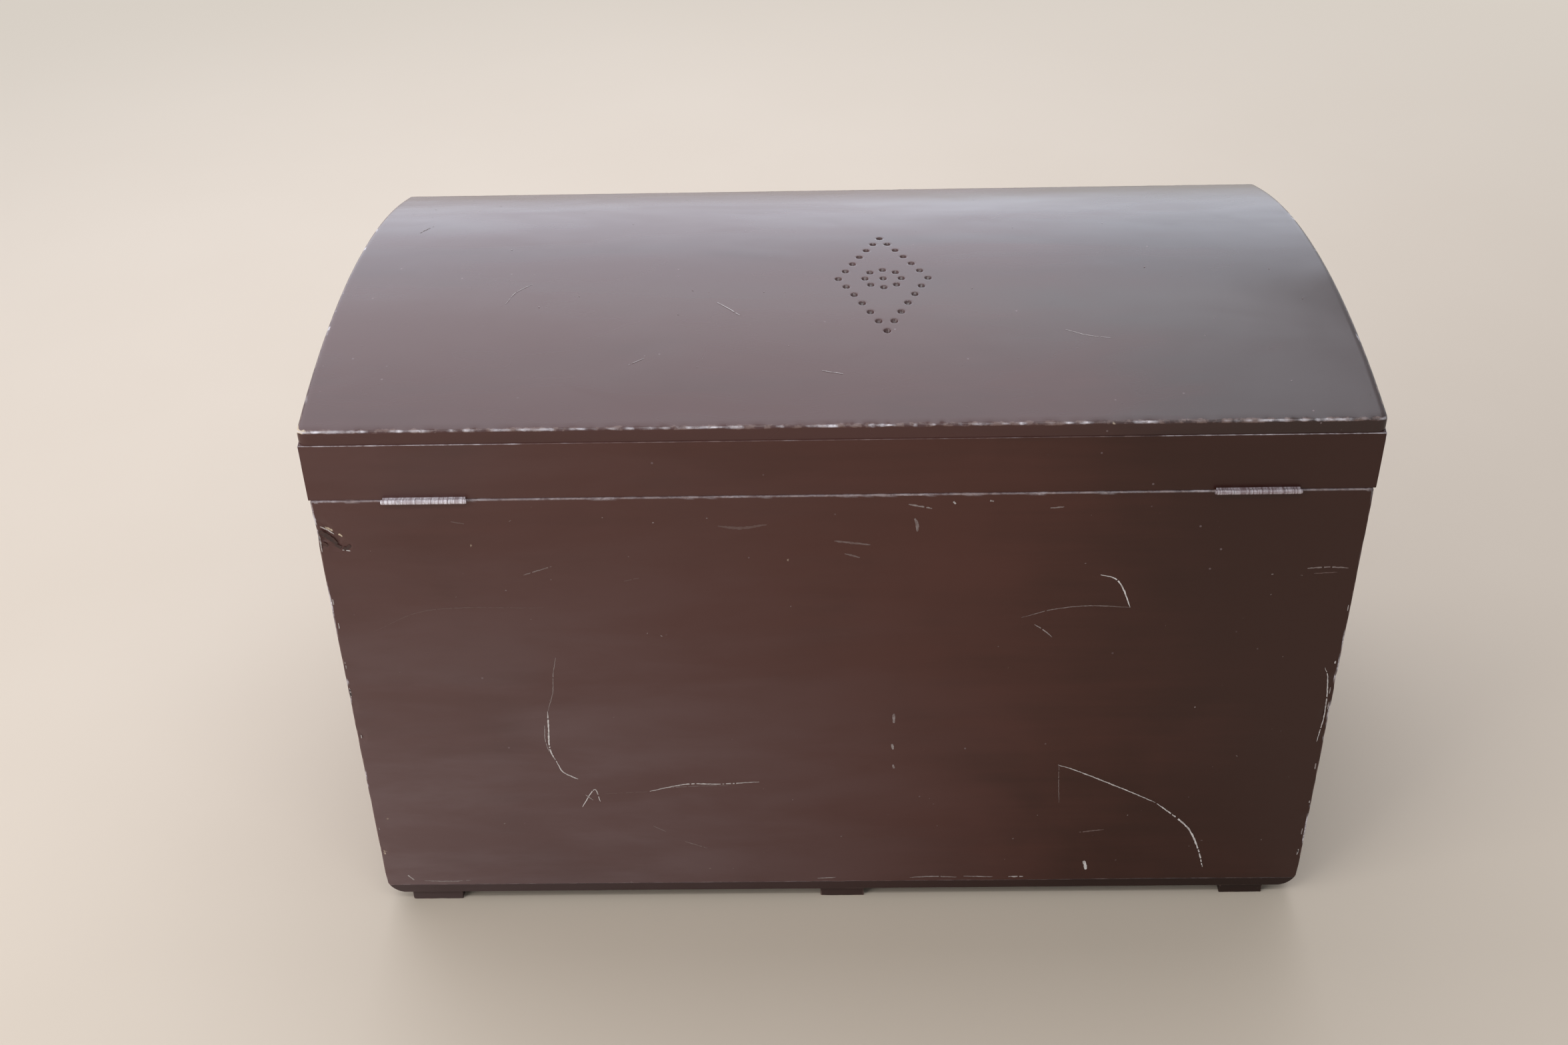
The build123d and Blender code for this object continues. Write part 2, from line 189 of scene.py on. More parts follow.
def paint_material(name, dark, light, dust_and_sheen_colour, dust_and_sheen_most, rough_low, rough_high, streak_along, brushed,
                   gloss=0.5, highlight_striped=False, patch_along=(1.0, 1.0, 1.0)):
    """Old brown gloss paint: brush streaks, dull dusty patches with painted sheen, painted shade along X,
    chips where the mesh is marked as worn, painted highlights where it is marked for them.
    """
    material, tree = new_material(name)
    coordinates = put(tree, "ShaderNodeTexCoord").outputs["Object"]
    place = put(tree, "ShaderNodeSeparateXYZ", {"Vector": coordinates})
    streaks = grain(tree, coordinates, streak_along, 1.0, 5.0, 0.6)
    patches = grain(tree, coordinates, patch_along, 5.0, 3.0, 0.6, 0.4)
    fine = grain(tree, coordinates, (1.0, 1.0, 1.0), 420.0, 2.0, 0.5)
    specks = put(tree, "ShaderNodeTexVoronoi", {"Vector": coordinates, "Scale": 85.0}).outputs["Distance"]

    tone = maths(tree, "MULTIPLY_ADD", streaks, 0.16, maths(tree, "MULTIPLY_ADD", patches, 0.36, 0.24))
    # Painted shade: darker towards -X and lighter towards +X, standing for light falling from the +X side
    painted_side_shade = between(tree, place.outputs["X"], -0.42, 0.02, -0.16, 0.12)
    base = mix(tree, between(tree, maths(tree, "ADD", tone, painted_side_shade), 0.35, 0.65), dark, light)

    # Dust with painted sheen: paler and greyer on the +X side, where the light comes from, and low down,
    # broken up by noise
    side = between(tree, place.outputs["X"], -0.25, 0.40)
    low = between(tree, place.outputs["Z"], 0.42, 0.05)
    spread = maths(tree, "MULTIPLY_ADD", low, 0.75, 0.25)
    cloud_noise = grain(tree, coordinates, (0.8, 1.0, 3.2), 7.0, 5.0, 0.6, 0.3)
    cloud = between(tree, cloud_noise, 0.30, 0.72, 0.58, 1.0)
    dust_and_sheen = maths(tree, "MULTIPLY", maths(tree, "MULTIPLY", side, spread), cloud)
    base = mix(tree, maths(tree, "MULTIPLY", dust_and_sheen, dust_and_sheen_most), base, dust_and_sheen_colour)

    # Pin-head specks of dirt
    speck_mask = between(tree, specks, 0.10, 0.05)
    rare = between(tree, grain(tree, coordinates, (1.0, 1.0, 1.0), 23.0, 2.0), 0.60, 0.66)
    base = mix(tree, maths(tree, "MULTIPLY", maths(tree, "MULTIPLY", speck_mask, rare), 0.5), base, dust_and_sheen_colour)

    # Wear on marked edges: first a lighter rub, then bare wood in few places
    worn = put(tree, "ShaderNodeAttribute", attribute_name="wear").outputs["Fac"]
    edge_noise = grain(tree, coordinates, (1.0, 1.0, 1.0), 120.0, 4.0, 0.65)
    rub = between(tree, maths(tree, "MULTIPLY", worn, edge_noise), 0.44, 0.60)
    base = mix(tree, maths(tree, "MULTIPLY", rub, 0.55), base, colour(126, 104, 98))
    chip_noise = grain(tree, coordinates, (1.0, 1.0, 1.0), 55.0, 3.0, 0.6)
    chips = put(tree, "ShaderNodeAttribute", attribute_name="chip").outputs["Fac"]
    chip = between(tree, maths(tree, "ADD", maths(tree, "MULTIPLY", chips, 0.62), chip_noise), 0.86, 0.92)
    base = mix(tree, chip, base, colour(196, 180, 158))

    # Painted highlights, partly pale rubbed paint, where the mesh is marked for them
    highlights_and_rubs = put(tree, "ShaderNodeAttribute", attribute_name="highlight_and_rub").outputs["Fac"]
    flecks = grain(tree, coordinates, (1.0, 2.0, 2.0), 190.0, 4.0, 0.7)
    if highlight_striped:
        highlight_stripes = grain(tree, coordinates, (1.0, 0.05, 0.05), 520.0, 3.0, 0.7)
        # On the hinges: painted highlight stripes, brighter on the +X hinge
        highlit_side = between(tree, place.outputs["X"], -0.1, 0.1, 0.45, 1.0)
        highlights_and_rubs = maths(tree, "MULTIPLY", between(tree, highlight_stripes, 0.40, 0.56), highlit_side)
    highlight_and_rub = maths(tree, "MULTIPLY", highlights_and_rubs, between(tree, flecks, 0.38, 0.56, 0.35, 1.0), clamp=True)
    base = mix(tree, highlight_and_rub, base, colour(224, 220, 228))

    rough = between(tree, maths(tree, "MULTIPLY_ADD", streaks, 0.2, maths(tree, "MULTIPLY", patches, 0.8)),
                    0.30, 0.70, rough_low, rough_high)
    rough = maths(tree, "ADD", rough, maths(tree, "MULTIPLY", dust_and_sheen, 0.16))
    rough = maths(tree, "ADD", rough, maths(tree, "MULTIPLY", chip, 0.4), clamp=True)

    # Relief: slow waves of the boards, brush marks, orange peel, dents, specks
    waves = grain(tree, coordinates, (1.0, 1.0, 1.0), 9.0, 2.0, 0.5)
    dents = between(tree, grain(tree, coordinates, (1.0, 1.0, 2.2), 13.0, 1.0, 0.5, 0.3), 0.44, 0.20)
    normal = bump(tree, waves, 0.0016, 0.6)
    normal = bump(tree, streaks, 0.00016, brushed, normal)
    normal = bump(tree, dents, 0.0004, 0.5, normal)
    normal = bump(tree, fine, 0.00005, 0.35, normal)
    normal = bump(tree, speck_mask, 0.0001, 0.4, normal)
    inputs = {"Base Color": base, "Roughness": rough, "Normal": normal, "Specular IOR Level": gloss}
    shader = put(tree, "ShaderNodeBsdfPrincipled", inputs)
    put(tree, "ShaderNodeOutputMaterial", {"Surface": shader.outputs[0]})
    return material


def wood_material(name, along, pale, deep):
    """Unpainted softwood, darkened with age, its grain along one axis."""
    material, tree = new_material(name)
    coordinates = put(tree, "ShaderNodeTexCoord").outputs["Object"]
    stretch = [34.0, 34.0, 34.0]
    stretch["XYZ".index(along)] = 1.1
    rings = grain(tree, coordinates, stretch, 1.0, 3.0, 0.5, 1.2)
    fibres = grain(tree, coordinates, [value * 9 for value in stretch], 1.0, 4.0, 0.6)
    stain = grain(tree, coordinates, (1.0, 1.0, 1.0), 6.0, 4.0, 0.6, 0.5)
    bands = maths(tree, "PINGPONG", maths(tree, "MULTIPLY", rings, 5.0), 1.0)
    late = between(tree, bands, 0.45, 0.95)
    base = mix(tree, late, pale, deep)
    base = mix(tree, between(tree, fibres, 0.45, 0.75, 0.0, 0.35), base, deep)
    base = mix(tree, between(tree, stain, 0.45, 0.72, 0.0, 0.45), base, colour(112, 84, 60))
    rough = between(tree, fibres, 0.3, 0.7, 0.62, 0.82)
    normal = bump(tree, fibres, 0.0003, 0.6)
    normal = bump(tree, late, 0.0002, 0.5, normal)
    inputs = {"Base Color": base, "Roughness": rough, "Normal": normal, "Specular IOR Level": 0.3}
    shader = put(tree, "ShaderNodeBsdfPrincipled", inputs)
    put(tree, "ShaderNodeOutputMaterial", {"Surface": shader.outputs[0]})
    return material


def steel_material():
    """Dull zinc-grey steel with a little rust."""
    material, tree = new_material("dull_steel")
    coordinates = put(tree, "ShaderNodeTexCoord").outputs["Object"]
    brushed = grain(tree, coordinates, (1.0, 1.0, 0.08), 700.0, 3.0, 0.6)
    rust = between(tree, grain(tree, coordinates, (1.0, 1.0, 1.0), 90.0, 5.0, 0.65), 0.55, 0.68)
    base = mix(tree, rust, colour(148, 146, 142), colour(112, 74, 52))
    clean = between(tree, brushed, 0.3, 0.7, 0.34, 0.5)
    rough = maths(tree, "ADD", clean, maths(tree, "MULTIPLY", rust, 0.35))
    metal = maths(tree, "SUBTRACT", 1.0, maths(tree, "MULTIPLY", rust, 0.9))
    normal = bump(tree, brushed, 0.00003, 0.5)
    inputs = {"Base Color": base, "Roughness": rough, "Metallic": metal, "Normal": normal}
    shader = put(tree, "ShaderNodeBsdfPrincipled", inputs)
    put(tree, "ShaderNodeOutputMaterial", {"Surface": shader.outputs[0]})
    return material


def scratch_material(name, line_colour):
    """Paint scored to a dry line, with brown showing through; with a dark colour the line is painted shade.
    """
    material, tree = new_material(name)
    coordinates = put(tree, "ShaderNodeTexCoord").outputs["Object"]
    broken = grain(tree, coordinates, (1.0, 1.0, 1.0), 260.0, 4.0, 0.7)
    strength = put(tree, "ShaderNodeAttribute", attribute_name="strength").outputs["Fac"]
    share = maths(tree, "MULTIPLY", strength, between(tree, broken, 0.30, 0.60, 0.45, 1.0), clamp=True)
    base = mix(tree, share, colour(78, 48, 41), line_colour)
    normal = bump(tree, broken, 0.0002, 0.7)
    inputs = {"Base Color": base, "Roughness": 0.6, "Normal": normal}
    shader = put(tree, "ShaderNodeBsdfPrincipled", inputs)
    put(tree, "ShaderNodeOutputMaterial", {"Surface": shader.outputs[0]})
    return material


side_paint = paint_material(
    "brown_paint_sides", dark=colour(49, 22, 15), light=colour(72, 37, 29), dust_and_sheen_colour=colour(128, 113, 116),
    dust_and_sheen_most=0.56, rough_low=0.30, rough_high=0.42, streak_along=(6.0, 6.0, 90.0), brushed=0.5, gloss=0.38)
# A darker copy of the side paint for the bottom board and runners: painted shade near the floor
shaded_low_paint = paint_material(
    "brown_paint_low_shaded", dark=colour(34, 17, 13), light=colour(48, 27, 23), dust_and_sheen_colour=colour(104, 92, 94),
    dust_and_sheen_most=0.30, rough_low=0.34, rough_high=0.46, streak_along=(6.0, 6.0, 90.0), brushed=0.5, gloss=0.30)
top_paint = paint_material(
    "brown_paint_top", dark=colour(44, 24, 21), light=colour(70, 38, 35), dust_and_sheen_colour=colour(126, 110, 112),
    dust_and_sheen_most=0.10, rough_low=0.20, rough_high=0.30, streak_along=(3.0, 16.0, 16.0), brushed=0.06,
    patch_along=(0.8, 2.8, 2.8))
# A much lighter copy of the brown paint for the hinges: partly worn paint, mostly painted highlight
worn_and_lit_hinge_paint = paint_material(
    "brown_paint_hinges_worn_and_lit", dark=colour(116, 96, 100), light=colour(166, 152, 158), dust_and_sheen_colour=colour(170, 162, 166),
    dust_and_sheen_most=0.30, rough_low=0.16, rough_high=0.30, streak_along=(60.0, 60.0, 60.0), brushed=0.3,
    highlight_striped=True)
wood_x = wood_material("bare_wood_long", "X", colour(186, 152, 112), colour(160, 124, 86))
wood_y = wood_material("bare_wood_deep", "Y", colour(182, 148, 108), colour(156, 120, 82))
wood_z = wood_material("bare_wood_upright", "Z", colour(180, 146, 108), colour(154, 118, 82))
steel = steel_material()
scratch = scratch_material("scratch_pale", colour(220, 217, 217))
# Dark lines laid in the knocks at the back's upper corner: painted shade in the dents
knock_shade = scratch_material("knock_painted_shade", colour(34, 22, 21))


# Mesh helpers

def add_piece(name, points, faces, materials, body, marks=None, face_slots=None, replaced=(),
              closed=True):
    """Mesh piece with smooth shading, riding on a body."""
    mesh = bpy.data.meshes.new(name)
    mesh.from_pydata(points, [], faces)
    for material in materials:
        mesh.materials.append(material)
    for label, values in (marks or {}).items():
        attribute = mesh.attributes.new(label, "FLOAT", "POINT")
        attribute.data.foreach_set("value", values)
    if face_slots:
        mesh.polygons.foreach_set("material_index", face_slots)
    mesh.polygons.foreach_set("use_smooth", [True] * len(mesh.polygons))
    if closed:
        shell = bmesh.new()
        shell.from_mesh(mesh)
        bmesh.ops.recalc_face_normals(shell, faces=shell.faces)
        shell.to_mesh(mesh)
        shell.free()
    mesh.update()
    piece = bpy.data.objects.new(name, mesh)
    bpy.context.scene.collection.objects.link(piece)
    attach(piece, body)
    if replaced:
        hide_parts(*replaced)
    return piece


def lines(low, high, rim, pitch, dense=()):
    """Grid lines along one axis: close together at both rims and in the dense stretches."""
    near = [0.0, 0.3 * rim, 0.6 * rim, rim, 1.4 * rim, 1.4 * rim + 1.2 * MM]
    ends = [low + step for step in near] + [high - step for step in reversed(near)]
    start, stop = ends[5], ends[6]
    steps = max(1, math.ceil((stop - start) / pitch))
    values = ends + [start + (stop - start) * step / steps for step in range(1, steps)]
    for dense_low, dense_high, dense_pitch in dense:
        steps = max(1, round((dense_high - dense_low) / dense_pitch))
        values.extend(dense_low + (dense_high - dense_low) * step / steps for step in range(steps + 1))
    values = sorted(value for value in values if low <= value <= high)
    kept = [values[0]]
    for value in values[1:]:
        if value - kept[-1] > 0.02 * MM:
            kept.append(value)
    return kept


def slab(name, low, high, rim, grids, materials, body, replaced, warp=None, bare=None, chips=None,
         highlights_and_rubs_at=None):
    """Board as a closed grid with rounded, uneven rims.

    rim gives the rounding at a point and grids the lines along the three axes. warp moves the finished
    points, bare tells which faces are unpainted, chips gives how badly the paint is chipped and the last
    one gives how strongly painted highlights, with some pale rubbed paint, lie on the rims."""
    sizes = [len(grid) for grid in grids]
    index_of = {}
    points = []
    worn = []
    chipped = []
    highlights_and_rubs = []

    def corner(i, j, k):
        key = (i, j, k)
        if key in index_of:
            return index_of[key]
        point = Vector((grids[0][i], grids[1][j], grids[2][k]))
        wobble = noise.noise(point * 90) + 0.35 * noise.noise(point * 360)
        radius = rim(point) * (0.65 + 0.7 * max(0.0, wobble))
        near = 0
        core = point.copy()
        for axis in range(3):
            core[axis] = min(max(point[axis], low[axis] + radius), high[axis] - radius)
            near += core[axis] != point[axis]
        if near > 1:
            point = core + (point - core).normalized() * radius
        to_faces = [min(point[axis] - low[axis], high[axis] - point[axis]) for axis in range(3)]
        close = sum(distance < radius * 1.02 for distance in to_faces)
        if warp:
            point = warp(point)
        index_of[key] = len(points)
        points.append(point)
        worn.append(1.0 if close > 1 else 0.0)
        chipped.append(chips(point) if chips else 0.0)
        highlights_and_rubs.append(highlights_and_rubs_at(point) if highlights_and_rubs_at and close > 1 else 0.0)
        return index_of[key]

    faces = []
    for axis in range(3):
        first, second = [other for other in range(3) if other != axis]
        for end in (0, sizes[axis] - 1):
            for a in range(sizes[first] - 1):
                for b in range(sizes[second] - 1):
                    ring = []
                    for step_a, step_b in ((0, 0), (1, 0), (1, 1), (0, 1)):
                        key = [0, 0, 0]
                        key[axis] = end
                        key[first] = a + step_a
                        key[second] = b + step_b
                        ring.append(corner(*key))
                    faces.append(tuple(ring))
    face_slots = None
    if bare:
        face_slots = []
        for face in faces:
            centre = sum((points[index] for index in face), Vector()) / 4
            face_slots.append(1 if bare(centre) else 0)
    marks = {"wear": worn, "chip": chipped, "highlight_and_rub": highlights_and_rubs}
    return add_piece(name, points, faces, materials, body, marks, face_slots, replaced)


def dashes(x, seed, share):
    """Uneven dashes along x, from 0 to 1; a larger share leaves shorter gaps."""
    broad = noise.noise(Vector((x * 42, seed, 0.0)))
    fine = noise.noise(Vector((x * 150, seed, 4.0)))
    value = 0.5 + 0.7 * broad + 0.45 * fine
    return max(0.0, min(1.0, (value - (1 - share)) / 0.25))


def inside(point):
    """Whether a face centre lies on the inside of the box or the lid."""
    margin = 0.6 * MM
    from_axis = math.hypot(point.y - mid_y, point.z - dome_centre_z)
    return (abs(point.x) < inner_half_width + margin
            and front_high.y - margin < point.y < back_low.y + margin
            and point.z > floor_board_z - margin
            and from_axis < inner_radius + margin
            and not abs(point.z - joint_z) < margin)


# Box

def box_side(z):
    """Half width of the box at a height, round at the bottom."""
    below = corner_radius - max(0.0, z - base_z)
    if below <= 0:
        return half_width
    return half_width - corner_radius + math.sqrt(corner_radius**2 - below**2)


# Knocks along the back's upright arrises as (x, z, reach, depth), in millimetres
knocks = [
    (403.5, 400, 12, 2.2), (392.5, 393, 8, 1.2), (385, 388.5, 5, 0.7), (405.5, 229, 6, 0.8),
    (405.5, 195, 8, 0.8), (405.5, 118, 6, 0.6), (405.5, 64, 7, 0.7), (-405.5, 244, 7, 0.9),
    (-405.5, 208, 9, 0.9), (-405.5, 183, 6, 0.8), (-405.5, 362, 5, 0.6), (-405.5, 90, 7, 0.7),
]


def knock_at(point):
    """Depth of the knocks at a point of the back."""
    depth = 0.0
    for x, z, reach, deep in knocks:
        distance = math.hypot(point.x - x * MM, (point.z - z * MM) * 0.8) / (reach * MM)
        if distance < 1:
            ragged = 1 + 0.5 * noise.noise(point * 420)
            depth = max(depth, deep * MM * (1 - distance**2) * ragged)
    return depth


def squeeze(point):
    """Draw the box in to its round bottom arrises."""
    point.x *= box_side(point.z) / half_width
    return point


def knocked_back(point):
    if point.y > back_y - 3 * MM:
        point.y -= knock_at(point)
    return squeeze(point)


def panel_chips(point):
    """Chips along the back's upright arrises and bottom edge."""
    at_side = abs(abs(point.x) - half_width) < 8 * MM
    patch = 0.5 + 0.5 * noise.noise(Vector((point.x * 9, 3.1, point.z * 14)))
    if point.y > 0 and knock_at(point) > 0.2 * MM:
        return 0.42
    return 0.34 * patch if at_side else 0.26 * patch


def panel_highlights_and_rubs(point):
    """Painted highlights, with some pale rubbed paint, along the joint, the upright arrises and the bottom
    edge of the box.
    """
    if abs(point.y - mid_y) < half_depth - 5 * MM:
        return 0.0
    if point.z > joint_z - 3 * MM:
        return 0.18 + 0.22 * dashes(point.x, 11.0, 0.4)
    if point.z < floor_board_z + 6 * MM:
        return 0.24 + 0.4 * dashes(point.x, 17.0, 0.4)
    return 0.9 * dashes(point.z, 23.0 + point.x, 0.34)


def outer_rim(sign, outer, inner, bottom=None):
    """Rounding that differs between a board's outer face, its inner face and its bottom edge."""
    outside_from = half_depth - 8 * MM

    def radius(point):
        if bottom is not None and point.z < floor_board_z + 4 * MM:
            return bottom
        return outer if (point.y - mid_y) * sign > outside_from else inner
    return radius


pitch = 12 * MM
back_dense_x = [(376 * MM, half_width, 1.3 * MM), (-half_width, -396 * MM, 1.6 * MM)]
back_dense_z = [(382 * MM, 413 * MM, 1.5 * MM), (50 * MM, 260 * MM, 3.0 * MM)]
for name, node, low, high, sign, dense_x, dense_z, warp in (
    ("back_panel_painted", "back_panel", back_low, back_high, 1, back_dense_x, back_dense_z, knocked_back),
    ("front_panel_painted", "front_panel", front_low, front_high, -1, (), (), squeeze),
):
    low = Vector((-half_width, low.y, floor_board_z))
    high = Vector((half_width, high.y, joint_z))
    grids = (lines(low.x, high.x, 1.6 * MM, pitch / 2, dense_x), lines(low.y, high.y, 1.6 * MM, 8 * MM),
             lines(low.z, high.z, 1.0 * MM, pitch, dense_z))
    slab(name, low, high, outer_rim(sign, 1.6 * MM, 0.3 * MM, 0.4 * MM), grids, [side_paint, wood_x],
         "chest", [node], warp, inside, panel_chips, panel_highlights_and_rubs)

low = Vector((-half_width, bottom_low.y, base_z))
high = Vector((half_width, bottom_high.y, floor_board_z))
round_lines = [base_z + step * MM for step in (0.0, 0.1, 0.3, 0.7, 1.3, 2.1, 3.2, 4.6, 6.2, 8.0)]
grids = (lines(low.x, high.x, 0.5 * MM, pitch), lines(low.y, high.y, 0.5 * MM, pitch),
         round_lines + [floor_board_z])
slab("bottom_board_painted", low, high, lambda point: 0.5 * MM, grids, [shaded_low_paint, wood_x], "chest",
     ["bottom_board"], squeeze, inside, panel_chips)

for side, sign in (("left", -1), ("right", 1)):
    low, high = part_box(f"end_{side}")
    low = Vector((low.x, low.y, floor_board_z))
    high = Vector((high.x, high.y, joint_z))

    def end_warp(point):
        """Only the outer face follows the round bottom arris."""
        share = (abs(point.x) - inner_half_width) / (half_width - inner_half_width)
        point.x -= math.copysign(share * (half_width - box_side(point.z)), point.x)
        return point

    slab(f"end_{side}_painted", low, high, lambda point: 0.3 * MM,
         (lines(low.x, high.x, 0.3 * MM, 8 * MM), lines(low.y, high.y, 0.3 * MM, pitch),
          lines(low.z, high.z, 0.6 * MM, pitch, [(floor_board_z, floor_board_z + 10 * MM, 1 * MM)])),
         [side_paint, wood_y], "chest", [f"end_{side}"], end_warp, inside, None)

for side in ("left", "centre", "right"):
    low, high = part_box(f"runner_{side}")
    slab(f"runner_{side}_painted", low, high, lambda point: 1.4 * MM,
         (lines(low.x, high.x, 1.4 * MM, 6 * MM), lines(low.y, high.y, 1.4 * MM, 20 * MM),
          lines(low.z, high.z, 1.4 * MM, 4 * MM)),
         [shaded_low_paint], "chest", [f"runner_{side}"])


# Lid frame

def under_sheet(y):
    """Height of the sheet's underside."""
    return dome_centre_z + math.sqrt(inner_radius**2 - (y - mid_y) ** 2)


def rail_chips(point):
    at_side = abs(abs(point.x) - sheet_half_width) < 5 * MM
    patch = 0.5 + 0.5 * noise.noise(Vector((point.x * 11, 7.7, point.z * 20)))
    return 0.4 * patch if at_side else 0.2 * patch


def rail_highlights_and_rubs(point):
    """Painted highlight on the ledge under the top, clear towards both ends, and a weaker one at the joint.
    """
    if abs(point.y - mid_y) < half_depth - 5 * MM:
        return 0.0
    if point.z > joint_z + 30 * MM:
        if abs(point.x) > ledge_highlight_from:
            return 0.36 + 0.26 * dashes(point.x, 31.0, 0.7)
        return 0.03 + 0.16 * dashes(point.x, 31.0, 0.3)
    return 0.25 * dashes(point.x, 37.0, 0.4)


for name, node, low, high in (
    ("lid_back_rail_painted", "lid_back_rail", rail_low, rail_high),
    ("lid_front_rail_painted", "lid_front_rail", front_rail_low, front_rail_high),
):
    sign = 1 if low.y > mid_y else -1
    top = under_sheet(high.y if sign > 0 else low.y)
    low = Vector((-sheet_half_width, low.y, joint_z))
    high = Vector((sheet_half_width, high.y, top))

    def rail_warp(point, top=top):
        """Slope the rail's top edge to meet the sheet."""
        share = max(0.0, min(1.0, (point.z - (top - 4 * MM)) / (4 * MM)))
        point.z += share * (under_sheet(point.y) - top)
        return point

    slab(name, low, high, outer_rim(sign, 0.45 * MM, 0.3 * MM),
         (lines(low.x, high.x, 0.6 * MM, 4 * MM), lines(low.y, high.y, 0.6 * MM, 4 * MM),
          lines(low.z, high.z, 0.6 * MM, 6 * MM)),
         [side_paint, wood_x], "lid", [node], rail_warp, inside, rail_chips, rail_highlights_and_rubs)

for side, sign in (("left", -1), ("right", 1)):
    low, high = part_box(f"lid_end_{side}")
    top = under_sheet(mid_y)
    low = Vector((low.x, low.y, joint_z))
    high = Vector((high.x, high.y, top))

    def arch_warp(point, top=top):
        """Bow the top edge to the sheet's underside."""
        point.z = joint_z + (point.z - joint_z) * (under_sheet(point.y) - joint_z) / (top - joint_z)
        return point

    def end_rim(point):
        """Outer arrises are more rounded than inner ones."""
        return 0.8 * MM if abs(point.x) > 400 * MM else 0.3 * MM

    slab(f"lid_end_{side}_painted", low, high, end_rim,
         (lines(low.x, high.x, 0.8 * MM, 4 * MM), lines(low.y, high.y, 0.8 * MM, 8 * MM),
          lines(low.z, high.z, 0.8 * MM, 8 * MM)),
         [side_paint, wood_y], "lid", [f"lid_end_{side}"], arch_warp, inside, rail_chips)


# Dome

def motif_holes():
    """Places of the holes as (x, distance behind the crest along the curve)."""
    centre = (back_y - mid_y) - motif_from_back
    corners = [(motif_width / 2, 0), (0, motif_length / 2), (-motif_width / 2, 0), (0, -motif_length / 2)]
    places = [(motif_x, centre)]
    for side in range(4):
        x_start, y_start = corners[side]
        x_end, y_end = corners[(side + 1) % 4]
        for step in range(motif_steps):
            share = step / motif_steps
            places.append((motif_x + x_start + share * (x_end - x_start),
                           centre + y_start + share * (y_end - y_start)))
    for hole in range(rosette_holes):
        angle = 2 * math.pi * hole / rosette_holes
        out, along = rosette_radius * math.cos(angle), rosette_radius * math.sin(angle)
        places.append((motif_x + out, centre + along))
    return places


def press_hole(x, along, holes):
    """Depth and sideways shifts that a point of the top takes from the hole beside it."""
    depth = shift_x = shift_along = 0.0
    for hole_x, hole_along in holes:
        across = x - hole_x
        off = along - hole_along
        if max(abs(across), abs(off)) > hole_search:
            continue
        distance = math.hypot(across, off)
        if distance < hole_radius * 0.93:
            depth = hole_depth
            if distance > hole_floor:
                ratio = hole_wall_foot / distance - 1
                shift_x, shift_along = across * ratio, off * ratio
        elif distance < hole_lip_reach:
            depth = hole_lip_depth
            ratio = hole_wall_head / distance - 1
            shift_x, shift_along = across * ratio, off * ratio
        elif distance < hole_dish_reach:
            depth = hole_dish_depth
    return depth, shift_x, shift_along


def graded(low, high, dense_low, dense_high, coarse, dense):
    """Values from low to high, closer together between dense_low and dense_high."""
    values = []
    stretches = ((low, dense_low, coarse), (dense_low, dense_high, dense), (dense_high, high, coarse))
    for start, end, spacing in stretches:
        steps = max(1, math.ceil((end - start) / spacing))
        values.extend(start + (end - start) * step / steps for step in range(steps))
    values.append(high)
    return values


def end_cap(points, upper, lower):
    """Triangles between two chains of points that share their first and last point."""
    triangles = []
    i = j = 0
    while i < len(upper) - 1 or j < len(lower) - 1:
        take_upper = j == len(lower) - 1
        if not take_upper and i < len(upper) - 1:
            take_upper = points[upper[i + 1]].y >= points[lower[j + 1]].y
        if take_upper:
            triangle = (upper[i], upper[i + 1], lower[j])
            i += 1
        else:
            triangle = (upper[i], lower[j + 1], lower[j])
            j += 1
        if len(set(triangle)) == 3:
            triangles.append(triangle)
    return triangles


def worn_edge(x, drop, edge, side):
    """Rounded, nicked long edge of the top at x, and how far along the curve it begins.

    Each entry is (y, z, wear, shift along x, share of painted highlight with some pale rub)."""
    sample = Vector((x * 60, side * 3.0, 0.0))
    radius = edge_round * (0.8 + 0.5 * noise.noise(sample) + 0.3 * noise.noise(sample * 5))
    radius = max(least_edge_round, radius)
    outer = dome_radius - drop
    centre_y = edge - radius
    centre_z = math.sqrt((outer - radius) ** 2 - centre_y**2)
    tilt = math.atan2(centre_y, centre_z)
    # How densely painted highlights, with some pale rubbed paint, lie along this edge
    share = 0.62 if x > most_highlit_and_rubbed_left or x < most_highlit_and_rubbed_right else 0.5
    if side > 0 and (highlit_and_rubbed_cluster[0] < x < highlit_and_rubbed_cluster[1] or x > highlit_and_rubbed_corner):
        share = 0.85
    ticks = 0.45 + 0.55 * dashes(x * 2.4, side * 13.0, 0.55)
    entries = []
    for step in range(edge_steps + 1):
        angle = math.pi / 2 + (tilt - math.pi / 2) * step / edge_steps
        nick = 0.3 * MM * noise.noise(Vector((x * 260, side * 9.0, step * 0.6)))
        nick -= 0.25 * MM * max(0.0, noise.noise(Vector((x * 75, side * 5.0, 0.3))))
        middle = math.sin(math.pi * step / edge_steps)
        out = radius * (1 - 0.10 * middle**2) + nick * (0.4 + 0.6 * middle)
        y = min(sheet_half_depth, centre_y + out * math.sin(angle))
        highlight_and_rub_share = middle * ticks * dashes(x, side * 5.0, share)
        entries.append((side * y, centre_z + out * math.cos(angle), 1.0, 0.0, highlight_and_rub_share))
    return entries, tilt * outer


def dome_stations(hole_xs, margin):
    """Sections of the top along X, each with how far the round end drops it."""
    xs = graded(-sheet_half_width + end_round, sheet_half_width - end_round, min(hole_xs) - margin,
                max(hole_xs) + margin, 2.5 * MM, 0.6 * MM)
    turns = [math.radians(angle) for angle in (90, 67, 45, 22)]
    insets = [(end_round * (1 - math.sin(turn)), end_round * (1 - math.cos(turn))) for turn in turns]
    stations = [(-sheet_half_width + shift, drop) for shift, drop in insets]
    stations.extend((x, 0.0) for x in xs)
    stations.extend((sheet_half_width - shift, drop) for shift, drop in reversed(insets))
    return stations


